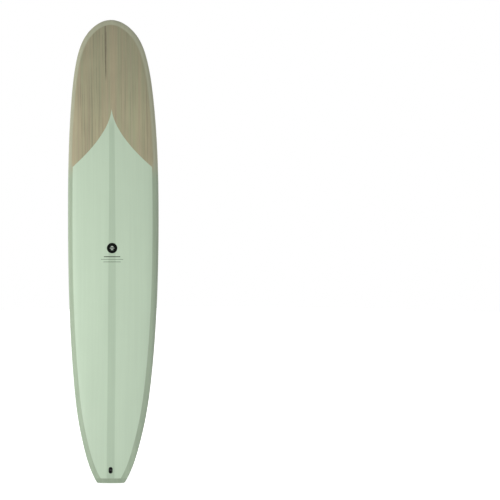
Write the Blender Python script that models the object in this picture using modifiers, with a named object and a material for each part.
"""A 9 ft 6 in longboard surfboard, made of the pieces that it is glued up and fitted out from.

Frame, in metres: the origin is the centre of the square tail's end face. +Z runs along the board to
the nose, +X across it to the right hand of someone who looks at the deck, and the deck faces -Y.
A "station" is a distance from the tail along Z. A "side" is DECK or BOTTOM.
"""

import math

import bmesh
import bpy
import numpy as np
from mathutils import Matrix, Vector

OBJECT_NAME = "longboard"
DECK = -1
BOTTOM = 1
LEFT = -1
RIGHT = 1

# Hull: each list pairs a station with the measure that a shaper writes down there
LENGTH = 2.896
HALF_WIDTHS = (
    (0.000, 0.085), (0.060, 0.118), (0.130, 0.146), (0.260, 0.183), (0.385, 0.211), (0.640, 0.246),
    (1.015, 0.274), (1.680, 0.2885), (2.143, 0.279), (2.398, 0.2605), (2.656, 0.221), (2.789, 0.168),
    (2.896, 0.000),
)
THICKNESSES = (
    (0.000, 0.013), (0.190, 0.035), (0.580, 0.0535), (1.450, 0.073), (2.155, 0.066), (2.660, 0.0445),
    (2.896, 0.025),
)
ROCKERS = (
    (0.000, 0.109), (0.377, 0.0635), (0.883, 0.0205), (1.448, 0.000), (1.911, 0.0035), (2.404, 0.034),
    (2.660, 0.063), (2.896, 0.0985),
)
APEX = 0.42              # height of the rail's widest line, as a share of the thickness
CROWN = {DECK: 0.30, BOTTOM: 0.04}     # how much the surface falls away from the middle to the edge
RAIL_REACH = {DECK: 0.085, BOTTOM: 0.070}   # how far in from the edge the rail's rounding reaches
RAIL_POWER = 3

# Construction
RAIL_BAND = 0.035        # width of the rail piece, in plan
TAIL_BLOCK = 0.030       # length of the tail block
TAIL_ROUND = 0.0025      # rounding of its end
SKIN = 0.003             # thickness of the outer skins
GLUE = 0.0008            # glue line under a skin
GAP = 0.0003             # clearance between neighbours
POCKET_GAP = 0.0008      # at the ends of the inserts, whose faces lean with the board's surface
STRINGER = 0.004         # thickness of the stringer
CORE_TIP = 0.012         # how far the core stops short of the nose rail

# Wooden nose: its border is an arch that rises from the rails to a point on the centre line
ARCH_FOOT = 1.981
ARCH_POINT = 2.348
ARCH_POWER = 1.7
ARCH_GAP = 0.0005
POINT_GAP = 0.002
STRIP_NOSE = 0.017       # half width of the centre strip at the arch's point
STRIP_TAIL = 0.027       # and from STRIP_FULL down to the tail
STRIP_FULL = 1.15

# Fin box, in its own frame: Y along the box, Z out of the bottom
BOX_STATION = 0.122      # tail end of the box
BOX_LENGTH = 0.267       # 10.5 in
BOX_WIDTH = 0.033
BOX_FLANGE = 0.0025
BOX_BODY = (0.254, 0.022, 0.021)       # length, width, depth
BOX_RISE = 0.0003        # the flange's height over the chord of the curved bottom
BOX_SLOT = (0.242, 0.0095, 0.018)
BOX_CHANNEL = (0.232, 0.0155, 0.0128, 0.0082)      # length, width, floor depth, roof depth
BOX_NOTCH = (0.022, 0.0155, 0.078)     # length, width, place along the box
PLATE = (0.0146, 0.019, 0.003)         # across, along, thick
PLATE_DEPTH = 0.0105     # of its middle
PLATE_BEVEL = 0.0005
SCREW_HOLE = 0.0024
SCREW_SHANK = 0.00205
SCREW_HEAD = (0.004, 0.0024)           # radius, height
SCREW_TOP = -0.003
SCREW_TIP = -0.0176
SCREW_CHAMFER = 0.0006
SCREW_DRIVE = (0.0011, 0.0012)         # slot width, depth
BOX_INSERT = (0.025, 0.112, 0.400)     # half width, first and last station

# Leash plug, in its own frame: Y along the board, Z out of the deck
PLUG_STATION = 0.081
PLUG_FLANGE = (0.041, 0.025, 0.0027)   # length, width, thickness
PLUG_BODY = (0.038, 0.022, 0.015)
PLUG_HOLLOW = (0.033, 0.017, 0.0128)   # deep enough for a cord to pass under the pin
PIN_RADIUS = 0.0024
PIN_LENGTH = 0.0214
PIN_DEPTH = 0.0054
PIN_BEVEL = 0.0004
PLUG_INSERT = (0.022, TAIL_BLOCK + 2 * GAP, BOX_INSERT[1] - POCKET_GAP)

# Fineness of the mesh
EDGE_STEPS = 600
TAIL_CURVE = 0.45
TAIL_ROWS = 8
MAIN_ROWS = 26
ARCH_ROWS = 11
POINT_ROWS = 4
COLUMNS = 7
STRIP_COLUMNS = 2
RAIL_STEPS = 6
ROUND_STEPS = 24
CLEAR_OF_ARCH = 0.02
CLEAR_OF_INSERT = 0.01
TAIL_ROUND_ROWS = 4
INSERT_COLUMNS = 5
BEVEL_STEPS = 2
RUN_OUT = 0.1            # how far the outline is carried on past the tail
CUTTER_HEIGHT = 1.0
NUDGE = 1e-4             # step for slopes
TINY = 1e-6
WELD = 1e-5
MIRROR_WELD = 1e-4
SHARP_ANGLE = math.radians(35)
PIN_EDGE_ANGLE = math.radians(60)

# Finishes: linear colour, roughness, metallic
GREEN_DECK = ((0.52, 0.63, 0.49), 0.25, 0.0)
GREEN_BOTTOM = ((0.43, 0.53, 0.41), 0.25, 0.0)
GREEN_STRIP = ((0.44, 0.54, 0.41), 0.25, 0.0)
OLIVE = ((0.30, 0.35, 0.25), 0.3, 0.0)
VENEER = ((0.31, 0.28, 0.19), 0.3, 0.0)
FOAM = ((0.85, 0.85, 0.82), 0.9, 0.0)
DENSE_FOAM = ((0.62, 0.60, 0.50), 0.85, 0.0)
PLY = ((0.50, 0.36, 0.20), 0.7, 0.0)
BLACK = ((0.012, 0.013, 0.012), 0.35, 0.0)
STEEL = ((0.55, 0.55, 0.56), 0.3, 1.0)
DARK_STEEL = ((0.10, 0.10, 0.10), 0.35, 1.0)


# ---------------------------------------------------------------- curves of the hull

def natural_spline(pairs):
    """The smooth curve through (place, value) pairs, as a function of place."""
    x, y = (np.array(column) for column in zip(*pairs))
    step = np.diff(x)
    slope = np.diff(y) / step
    system = np.eye(len(x))
    load = np.zeros(len(x))
    for i in range(1, len(x) - 1):
        system[i, i - 1:i + 2] = step[i - 1], 2 * (step[i - 1] + step[i]), step[i]
        load[i] = 6 * (slope[i] - slope[i - 1])
    bend = np.linalg.solve(system, load)

    def value(place):
        i = np.clip(np.searchsorted(x, place) - 1, 0, len(step) - 1)
        a = (x[i + 1] - place) / step[i]
        b = (place - x[i]) / step[i]
        curved = ((a ** 3 - a) * bend[i] + (b ** 3 - b) * bend[i + 1]) * step[i] ** 2 / 6
        return a * y[i] + b * y[i + 1] + curved

    return value


# the square of the width runs straight into the tip of a round nose, so that is what is smoothed
width_squared = natural_spline([(station, width ** 2) for station, width in HALF_WIDTHS])
thickness = natural_spline(THICKNESSES)
rocker = natural_spline(ROCKERS)
FLAT = ROCKERS[0][1] + THICKNESSES[0][1] / 2       # Y of the bottom where the rocker is zero


def half_width(station):
    return np.sqrt(np.maximum(width_squared(station), 0.0))


def outline():
    """Right-hand edge in plan as (x, station) points, from the tail's corner to the tip."""
    station = LENGTH * np.sin(np.linspace(0, math.pi / 2, EDGE_STEPS + 1))
    points = np.column_stack([half_width(station), station])
    points[-1, 0] = 0.0
    return points


def run_out(points):
    """The outline with its first stretch carried straight on past the tail."""
    first = points[0] - points[1]
    return np.vstack([points[0] + first / np.linalg.norm(first) * RUN_OUT, points])


def inward_normals(points):
    along = np.gradient(points, axis=0)
    along[-1] = (-1, 0)
    along /= np.linalg.norm(along, axis=1)[:, None]
    return np.column_stack([-along[:, 1], along[:, 0]])


EDGE = outline()
EDGE_INWARD = inward_normals(EDGE)
LONG_EDGE = run_out(EDGE)
INSET = EDGE + EDGE_INWARD * RAIL_BAND
ARCH_HALF = float(np.interp(ARCH_FOOT, INSET[:, 1], INSET[:, 0]))


def edge_distance(x, station):
    """Plan distance from points to the outline."""
    point = np.stack([np.abs(x), station], axis=-1)[..., None, :]
    start = LONG_EDGE[:-1]
    run = np.diff(LONG_EDGE, axis=0)
    share = np.clip(((point - start) * run).sum(-1) / (run ** 2).sum(-1), 0, 1)
    away = point - start - share[..., None] * run
    return np.sqrt((away ** 2).sum(-1)).min(-1)


def apex_y(station):
    return FLAT - rocker(station) - APEX * thickness(station)


def surface(x, station, side):
    """Points on the outside of the board above or below plan points."""
    x, station = np.broadcast_arrays(np.asarray(x, float), np.asarray(station, float))
    across = np.minimum(np.abs(x) / np.maximum(half_width(station), TINY), 1)
    inside = np.minimum(edge_distance(x, station) / RAIL_REACH[side], 1)
    rounding = np.sqrt(1 - (1 - inside) ** RAIL_POWER)
    share = APEX if side == BOTTOM else 1 - APEX
    height = share * thickness(station) * (1 - CROWN[side] * across ** 2) * rounding
    return np.stack([x, apex_y(station) + side * height, station], axis=-1)


def outward_normals(x, station, side):
    x, station = np.broadcast_arrays(np.asarray(x, float), np.asarray(station, float))
    along_x = surface(x + NUDGE, station, side) - surface(x - NUDGE, station, side)
    along_z = surface(x, station + NUDGE, side) - surface(x, station - NUDGE, side)
    normal = np.cross(along_x, along_z) * -side
    return normal / np.linalg.norm(normal, axis=-1)[..., None]


def under_skin(x, station, side):
    """Points below the skin and its glue line."""
    return surface(x, station, side) - outward_normals(x, station, side) * (SKIN + GLUE)


# ---------------------------------------------------------------- rows shared by all the long pieces

def arch_half(station):
    """Half width of the arch, from nothing at its point to the rails at its foot."""
    rise = np.clip((ARCH_POINT - station) / (ARCH_POINT - ARCH_FOOT), 0, None)
    return ARCH_HALF * rise ** ARCH_POWER


def strip_half(station):
    share = np.clip((station - STRIP_FULL) / (ARCH_POINT - STRIP_FULL), 0, 1)
    return STRIP_TAIL + (STRIP_NOSE - STRIP_TAIL) * share


def arch_stations():
    """From the arch's foot, close together where it leaves the rails, to where it meets the strip."""
    station = np.linspace(ARCH_FOOT, ARCH_POINT, EDGE_STEPS)
    shoulder = np.interp(0, strip_half(station) - arch_half(station), station)
    last = math.acos(arch_half(shoulder) / ARCH_HALF)
    share = np.cos(np.linspace(0, last, ARCH_ROWS))
    return ARCH_POINT - (ARCH_POINT - ARCH_FOOT) * share ** (1 / ARCH_POWER)


def row_stations():
    """Stations where the rail's inner edge, the skins and the core all have a row."""
    first = TAIL_BLOCK + GAP
    tip = LENGTH - RAIL_BAND
    turn = np.linspace(0, math.pi / 2, MAIN_ROWS + 1)
    tail = np.linspace(first, TAIL_CURVE, TAIL_ROWS)
    main = TAIL_CURVE + (tip - TAIL_CURVE) * np.sin(turn[1:])
    low, high = ARCH_FOOT - CLEAR_OF_ARCH, ARCH_POINT + CLEAR_OF_ARCH
    plain = [s for s in np.concatenate([tail, main]) if not low < s < high]
    arch = arch_stations()
    point = np.linspace(arch[-1], ARCH_POINT, POINT_ROWS)[1:]
    return np.array(sorted([*plain, *arch, *point]))


class Rows:
    """Where each row meets the outline (outer), the rail's inner edge (inner), and the way in."""

    def __init__(self):
        self.station = row_stations()

        def at_row(values):
            return np.interp(self.station, INSET[:, 1], values)

        self.outer = np.column_stack([at_row(EDGE[:, 0]), at_row(EDGE[:, 1])])
        self.outer[0] = half_width(self.station[0]), self.station[0]
        self.inner = np.column_stack([at_row(INSET[:, 0]), self.station])
        self.inward = np.column_stack([at_row(EDGE_INWARD[:, 0]), at_row(EDGE_INWARD[:, 1])])

    def border(self, clearance):
        """The line that runs inside the rails at a clearance, as (x, station) for each row."""
        line = self.inner + self.inward * clearance
        line[0, 1] = self.station[0]
        return np.maximum(line, [0, 0])


ROWS = Rows()
BORDER = ROWS.border(GAP)
ARCH_AT_ROW = arch_half(ROWS.station)
STRIP_AT_ROW = strip_half(ROWS.station)


# ---------------------------------------------------------------- meshes and objects

def collection(name):
    made = bpy.data.collections.new(name)
    bpy.context.scene.collection.children.link(made)
    return made


def clear_scene():
    for old in list(bpy.data.objects):
        bpy.data.objects.remove(old, do_unlink=True)


clear_scene()
PARTS = collection(OBJECT_NAME)
CUTTERS = collection("cutters")


def material(name, finish):
    colour, roughness, metallic = finish
    made = bpy.data.materials.new(name)
    made.use_nodes = True
    shader = made.node_tree.nodes["Principled BSDF"]
    shader.inputs["Base Color"].default_value = (*colour, 1.0)
    shader.inputs["Roughness"].default_value = roughness
    shader.inputs["Metallic"].default_value = metallic
    return made


def finish_part(thing, finish):
    """Gives a part its own material and its smooth and sharp edges."""
    thing.data.materials.clear()
    thing.data.materials.append(material(thing.name, finish))
    thing.data.shade_smooth()
    thing.data.set_sharp_from_angle(angle=SHARP_ANGLE)
    return thing


def new_object(name, mesh, group=None):
    made = bpy.data.objects.new(name, mesh)
    (group or PARTS).objects.link(made)
    return made


def object_from_bmesh(name, shape, group=None):
    mesh = bpy.data.meshes.new(name)
    shape.to_mesh(mesh)
    shape.free()
    return new_object(name, mesh, group)


def grid_object(name, points, flipped):
    """An open surface through rows of points; rows that shrink to a point become fans."""
    shape = bmesh.new()
    grid = [[shape.verts.new(point) for point in row] for row in points]
    for low, high in zip(grid, grid[1:]):
        for i in range(len(low) - 1):
            corners = (low[i], low[i + 1], high[i + 1], high[i])
            shape.faces.new(corners[::-1] if flipped else corners)
    bmesh.ops.remove_doubles(shape, verts=shape.verts, dist=WELD)
    return object_from_bmesh(name, shape)


def loft_object(name, loops):
    """A closed solid through loops that have the same number of points."""
    shape = bmesh.new()
    rings = [[shape.verts.new(point) for point in loop] for loop in loops]
    for low, high in zip(rings, rings[1:]):
        for i in range(len(low)):
            j = (i + 1) % len(low)
            shape.faces.new((low[i], low[j], high[j], high[i]))
    shape.faces.new(rings[0][::-1])
    shape.faces.new(rings[-1])
    bmesh.ops.recalc_face_normals(shape, faces=shape.faces)
    return object_from_bmesh(name, shape)


def add_modifier(thing, kind, **settings):
    made = thing.modifiers.new(kind.lower(), kind)
    for key, value in settings.items():
        setattr(made, key, value)
    return made


def combine(thing, tool, operation="DIFFERENCE"):
    add_modifier(thing, "BOOLEAN", object=tool, operation=operation)


def as_cutter(thing):
    PARTS.objects.unlink(thing)
    CUTTERS.objects.link(thing)
    thing.hide_render = True
    thing.display_type = "WIRE"
    return thing


def box_object(name, size, centre, parent=None):
    shape = bmesh.new()
    bmesh.ops.create_cube(shape, size=1.0, matrix=Matrix.Diagonal((*size, 1.0)))
    made = object_from_bmesh(name, shape)
    made.parent = parent
    made.location = centre
    return made


def cylinder_object(name, radius, length, centre, rotation, parent):
    shape = bmesh.new()
    bmesh.ops.create_cone(
        shape, cap_ends=True, segments=ROUND_STEPS, radius1=radius, radius2=radius, depth=length)
    made = object_from_bmesh(name, shape)
    made.parent = parent
    made.location = centre
    made.rotation_euler = rotation
    return made


def pill_outline(length, width):
    """A rectangle with half-round ends, along Y."""
    radius = width / 2
    points = []
    for middle, start in ((length / 2 - radius, 0.0), (radius - length / 2, math.pi)):
        for i in range(ROUND_STEPS // 2 + 1):
            angle = start + math.pi * i / (ROUND_STEPS // 2)
            points.append((radius * math.cos(angle), middle + radius * math.sin(angle)))
    return points


def pill_object(name, length, width, low, high, parent):
    """A pill-shaped plate between two heights, drawn as a flat curve and made a mesh for cutting."""
    drawing = bpy.data.curves.new(name, "CURVE")
    drawing.dimensions = "2D"
    drawing.fill_mode = "BOTH"
    drawing.extrude = (high - low) / 2
    line = drawing.splines.new("POLY")
    corners = pill_outline(length, width)
    line.points.add(len(corners) - 1)
    for point, (x, y) in zip(line.points, corners):
        point.co = (x, y, 0, 1)
    line.use_cyclic_u = True
    drawn = new_object(name + "_outline", drawing)
    evaluated = drawn.evaluated_get(bpy.context.evaluated_depsgraph_get())
    shape = bmesh.new()
    shape.from_mesh(bpy.data.meshes.new_from_object(evaluated))
    bmesh.ops.remove_doubles(shape, verts=shape.verts, dist=WELD)
    bmesh.ops.recalc_face_normals(shape, faces=shape.faces)
    bpy.data.objects.remove(drawn, do_unlink=True)
    made = object_from_bmesh(name, shape)
    made.parent = parent
    made.location = (0, 0, (low + high) / 2)
    return made


def pill_cutter(name, length, width, low, high, parent):
    return as_cutter(pill_object(name, length, width, low, high, parent))


def fitting_frame(name, first, last, side, rise=0.0):
    """An empty over the centre line between two stations: +Y to the nose, +Z out of the board."""
    low, high = (Vector(surface(0.0, s, side).tolist()) for s in (first, last))
    along = (high - low).normalized()
    across = Vector((-side, 0, 0))
    outward = across.cross(along)
    made = bpy.data.objects.new(name, None)
    PARTS.objects.link(made)
    turn = Matrix((across, along, outward)).transposed().to_4x4()
    made.matrix_world = Matrix.Translation((low + high) / 2 + outward * rise) @ turn
    return made


# ---------------------------------------------------------------- long pieces

def rail(name, hand):
    """One rail: its section is swept along the outline from the tail block to the nose."""
    share = 1 - np.cos(np.linspace(0, math.pi / 2, RAIL_STEPS + 1))[1:]
    loops = []
    for outer, inner in zip(ROWS.outer, ROWS.inner):
        plan = outer + share[:, None] * (inner - outer)
        x = np.maximum(plan[:, 0], GAP / 2)
        apex_x = max(outer[0], GAP / 2)
        apex = np.array([[apex_x, apex_y(outer[1]), outer[1]]])
        deck = surface(x, plan[:, 1], DECK)
        bottom = surface(x, plan[:, 1], BOTTOM)
        loops.append(np.vstack([deck[::-1], apex, bottom]) * [hand, 1, 1])
    return finish_part(loft_object(name, loops), OLIVE)


def tail_block():
    """The block across the tail, with a flat end face and a rounded edge round it."""
    turn = np.linspace(0, math.pi / 2, TAIL_ROUND_ROWS)
    stations = [*(TAIL_ROUND * (1 - np.cos(turn))), TAIL_BLOCK / 2, TAIL_BLOCK]
    insets = [*(TAIL_ROUND * (1 - np.sin(turn))), 0.0, 0.0]
    spread = np.sin(np.linspace(-math.pi / 2, math.pi / 2, 2 * COLUMNS + 1))
    loops = []
    for station, inset in zip(stations, insets):
        width = float(half_width(station))
        x = spread[1:-1] * width
        edge = np.array([[width, apex_y(station), station]])
        loop = np.vstack([
            edge * [-1, 1, 1], surface(x, station, DECK), edge, surface(x, station, BOTTOM)[::-1]])
        middle = loop[:, 1].mean()
        shrink_x = (width - inset) / width
        shrink_y = 1 - 2 * inset / float(thickness(station))
        loops.append((loop - [0, middle, 0]) * [shrink_x, shrink_y, 1] + [0, middle, 0])
    return finish_part(loft_object("tail_block", loops), OLIVE)


def core_loops(inner, outer, stations):
    """Loops between the skins, from one line of x values to another."""
    share = np.sin(np.linspace(0, math.pi / 2, COLUMNS))
    loops = []
    for low, high, station in zip(inner, outer, stations):
        x = low + share * (high - low)
        loops.append(np.vstack([
            under_skin(x, station, DECK), under_skin(x, station, BOTTOM)[::-1]]))
    return loops


def core_rows():
    return BORDER[:, 1] < LENGTH - RAIL_BAND - CORE_TIP


def foam_core(name, hand):
    keep = core_rows()
    stations = BORDER[keep, 1] + np.where(np.arange(keep.sum()) == 0, GAP, 0)
    inner = np.full(len(stations), STRINGER / 2 + GAP)
    loops = [loop * [hand, 1, 1] for loop in core_loops(inner, BORDER[keep, 0], stations)]
    return finish_part(loft_object(name, loops), FOAM)


def stringer():
    """The strip of plywood between the core's halves, from the fin box insert to the nose."""
    first = BOX_INSERT[2] + POCKET_GAP
    stations = [first, *BORDER[core_rows() & (BORDER[:, 1] > first + CLEAR_OF_INSERT), 1]]
    x = np.array([-1, 1]) * STRINGER / 2
    loops = [
        np.vstack([under_skin(x, s, DECK), under_skin(x, s, BOTTOM)[::-1]]) for s in stations]
    return finish_part(loft_object("stringer", loops), PLY)


def skin_surface(name, side, inner, outer, stations, hand=RIGHT, columns=COLUMNS):
    """One skin's outer surface, between two lines of x values."""
    share = np.sin(np.linspace(0, math.pi / 2, columns))
    low = np.minimum(inner, outer)
    x = low[:, None] + share * (outer - low)[:, None]
    points = surface(x, stations[:, None], side) * [hand, 1, 1]
    return grid_object(name, points, flipped=side * hand == 1)


def mirror_and_thicken(thing, mirrored):
    if mirrored:
        add_modifier(thing, "MIRROR", merge_threshold=MIRROR_WELD)
    add_modifier(thing, "SOLIDIFY", thickness=SKIN, offset=-1)


def side_panel(name, side, hand):
    """The green skin beside the centre strip, from the tail block to the arch's shoulder."""
    stations = BORDER[:, 1]
    inner = STRIP_AT_ROW + GAP
    outer = np.where(ROWS.station > ARCH_FOOT + TINY, ARCH_AT_ROW - ARCH_GAP, BORDER[:, 0])
    count = int(np.argmax(outer < inner)) + 1
    outer = np.maximum(outer, inner)
    thing = skin_surface(name, side, inner[:count], outer[:count], stations[:count], hand)
    mirror_and_thicken(thing, mirrored=False)
    return finish_part(thing, GREEN_DECK if side == DECK else GREEN_BOTTOM)


def centre_strip(name, side):
    """The strip down the middle, from the tail block to the arch's point."""
    keep = ROWS.station < ARCH_POINT + TINY
    stations = BORDER[keep, 1].copy()
    stations[-1] -= POINT_GAP
    outer = np.minimum(STRIP_AT_ROW[keep], np.maximum(ARCH_AT_ROW[keep] - ARCH_GAP, 0))
    thing = skin_surface(name, side, np.zeros(len(stations)), outer, stations, columns=STRIP_COLUMNS)
    mirror_and_thicken(thing, mirrored=True)
    return finish_part(thing, GREEN_STRIP)


def nose_veneer(name, side):
    """The wooden skin from the arch to the nose rail."""
    keep = ROWS.station > ARCH_FOOT - TINY
    above = ROWS.station[keep] > ARCH_POINT - TINY
    inner = np.where(above, 0, ARCH_AT_ROW[keep] + ARCH_GAP)
    stations = BORDER[keep, 1].copy()
    stations[0] += ARCH_GAP
    thing = skin_surface(name, side, inner, BORDER[keep, 0], stations)
    mirror_and_thicken(thing, mirrored=True)
    return finish_part(thing, VENEER)


def dense_insert(name, half, first, last):
    """A block of dense foam that fills the board between the skins."""
    stations = np.linspace(first, last, COLUMNS)
    x = np.linspace(-half, half, INSERT_COLUMNS)
    loops = [
        np.vstack([under_skin(x, s, DECK), under_skin(x, s, BOTTOM)[::-1]]) for s in stations]
    return finish_part(loft_object(name, loops), DENSE_FOAM)


def insert_pocket(name, half, first, last):
    """Cutter for the room that an insert takes in the core and the stringer."""
    size = (2 * (half + GAP), CUTTER_HEIGHT, last - first + 2 * POCKET_GAP)
    return as_cutter(box_object(name, size, (0, 0, (first + last) / 2)))


# ---------------------------------------------------------------- fin box

def fin_box(frame):
    body_length, body_width, body_depth = BOX_BODY
    slot_length, slot_width, slot_depth = BOX_SLOT
    channel_length, channel_width, floor, roof = BOX_CHANNEL
    notch_length, notch_width, notch_place = BOX_NOTCH
    thing = pill_object("fin_box", BOX_LENGTH, BOX_WIDTH, -BOX_FLANGE, 0, frame)
    body = pill_cutter("box_body", body_length, body_width, -body_depth, -BOX_FLANGE / 2, frame)
    slot = pill_cutter("box_slot", slot_length, slot_width, -slot_depth, BOX_FLANGE, frame)
    channel = as_cutter(box_object(
        "box_channel", (channel_width, channel_length, floor - roof), (0, 0, -(floor + roof) / 2), frame))
    notch = as_cutter(box_object(
        "box_notch", (notch_width, notch_length, 2 * roof + GAP), (0, notch_place, 0), frame))
    combine(thing, body, "UNION")
    for tool in (slot, channel, notch):
        combine(thing, tool)
    return finish_part(thing, BLACK)


def fin_plate(frame):
    """The threaded plate that slides in the box's channel; it rests on the channel's tail end."""
    across, along, thick = PLATE
    place = -BOX_CHANNEL[0] / 2 + GAP + along / 2
    thing = box_object("fin_plate", PLATE, (0, place, -PLATE_DEPTH), frame)
    hole = as_cutter(cylinder_object("plate_hole", SCREW_HOLE, 4 * thick, (0, 0, 0), (0, 0, 0), thing))
    add_modifier(thing, "BEVEL", width=PLATE_BEVEL, segments=BEVEL_STEPS, limit_method="ANGLE")
    combine(thing, hole)
    return finish_part(thing, STEEL)


def fin_screw(plate):
    """A slotted pan-head screw, turned about its own axis and standing in the plate."""
    head_radius, head_height = SCREW_HEAD
    under_head = SCREW_TOP - head_height
    profile = (
        (0, SCREW_TOP), (head_radius - SCREW_CHAMFER, SCREW_TOP),
        (head_radius, SCREW_TOP - SCREW_CHAMFER), (head_radius, under_head), (SCREW_SHANK, under_head),
        (SCREW_SHANK, SCREW_TIP + SCREW_CHAMFER), (SCREW_SHANK - SCREW_CHAMFER, SCREW_TIP), (0, SCREW_TIP),
    )
    shape = bmesh.new()
    line = [shape.verts.new((x, 0, z + PLATE_DEPTH)) for x, z in profile]
    for low, high in zip(line, line[1:]):
        shape.edges.new((low, high))
    thing = object_from_bmesh("fin_screw", shape)
    thing.parent = plate
    add_modifier(
        thing, "SCREW", axis="Z", steps=ROUND_STEPS, render_steps=ROUND_STEPS,
        use_merge_vertices=True, merge_threshold=WELD)
    width, depth = SCREW_DRIVE
    top = SCREW_TOP + PLATE_DEPTH
    drive = as_cutter(box_object("screw_drive", (4 * head_radius, width, 2 * depth), (0, 0, top), plate))
    combine(thing, drive)
    return finish_part(thing, STEEL)


def box_fittings():
    """The fin box with its insert, plate and screw, and the room for them in the skins and core."""
    first = BOX_STATION
    frame = fitting_frame("fin_box_frame", first, first + BOX_LENGTH, BOTTOM, BOX_RISE)
    fin_box(frame)
    fin_screw(fin_plate(frame))
    length, width, depth = (size + 2 * GAP for size in BOX_BODY)
    room = pill_cutter("box_room", length, width, -depth, depth, frame)
    insert = dense_insert("fin_box_insert", *BOX_INSERT)
    combine(insert, room)
    opening = pill_cutter(
        "box_opening", BOX_LENGTH + 2 * GAP, BOX_WIDTH + 2 * GAP, -2 * SKIN, 2 * SKIN, frame)
    return opening, insert_pocket("box_pocket", *BOX_INSERT)


# ---------------------------------------------------------------- leash plug

def leash_cup(frame, pin_turn):
    flange_length, flange_width, flange = PLUG_FLANGE
    body_length, body_width, body_depth = PLUG_BODY
    length, width, depth = PLUG_HOLLOW
    thing = pill_object("leash_cup", flange_length, flange_width, -flange, 0, frame)
    body = pill_cutter("plug_body", body_length, body_width, -body_depth, -flange / 2, frame)
    hollow = pill_cutter("plug_hollow", length, width, -depth, flange, frame)
    bore = as_cutter(cylinder_object(
        "pin_bore", PIN_RADIUS + GAP, 2 * body_width, (0, 0, -PIN_DEPTH), pin_turn, frame))
    combine(thing, body, "UNION")
    for tool in (hollow, bore):
        combine(thing, tool)
    return finish_part(thing, BLACK)


def leash_fittings():
    """The leash plug with its pin and insert, and the room for them in the skins and core."""
    half = PLUG_FLANGE[0] / 2
    frame = fitting_frame("leash_plug_frame", PLUG_STATION - half, PLUG_STATION + half, DECK)
    pin_turn = (0, math.pi / 2, 0)
    leash_cup(frame, pin_turn)
    pin = cylinder_object("leash_pin", PIN_RADIUS, PIN_LENGTH, (0, 0, -PIN_DEPTH), pin_turn, frame)
    add_modifier(
        pin, "BEVEL", width=PIN_BEVEL, segments=1, limit_method="ANGLE", angle_limit=PIN_EDGE_ANGLE)
    finish_part(pin, DARK_STEEL)
    length, width, depth = (size + 2 * GAP for size in PLUG_BODY)
    room = pill_cutter("plug_room", length, width, -depth, depth, frame)
    insert = dense_insert("leash_insert", *PLUG_INSERT)
    combine(insert, room)
    opening = pill_cutter(
        "plug_opening", PLUG_FLANGE[0] + 2 * GAP, PLUG_FLANGE[1] + 2 * GAP, -2 * SKIN, 2 * SKIN, frame)
    return opening, insert_pocket("plug_pocket", *PLUG_INSERT)


# ---------------------------------------------------------------- the board

def build():
    box_opening, box_pocket = box_fittings()
    plug_opening, plug_pocket = leash_fittings()
    for core in (foam_core("foam_core_left", LEFT), foam_core("foam_core_right", RIGHT)):
        combine(core, box_pocket)
        combine(core, plug_pocket)
    stringer()
    rail("rail_left", LEFT)
    rail("rail_right", RIGHT)
    tail_block()
    for side, word, opening in ((DECK, "deck", plug_opening), (BOTTOM, "bottom", box_opening)):
        nose_veneer(f"{word}_nose_veneer", side)
        side_panel(f"{word}_panel_left", side, LEFT)
        side_panel(f"{word}_panel_right", side, RIGHT)
        combine(centre_strip(f"{word}_centre_strip", side), opening)


build()
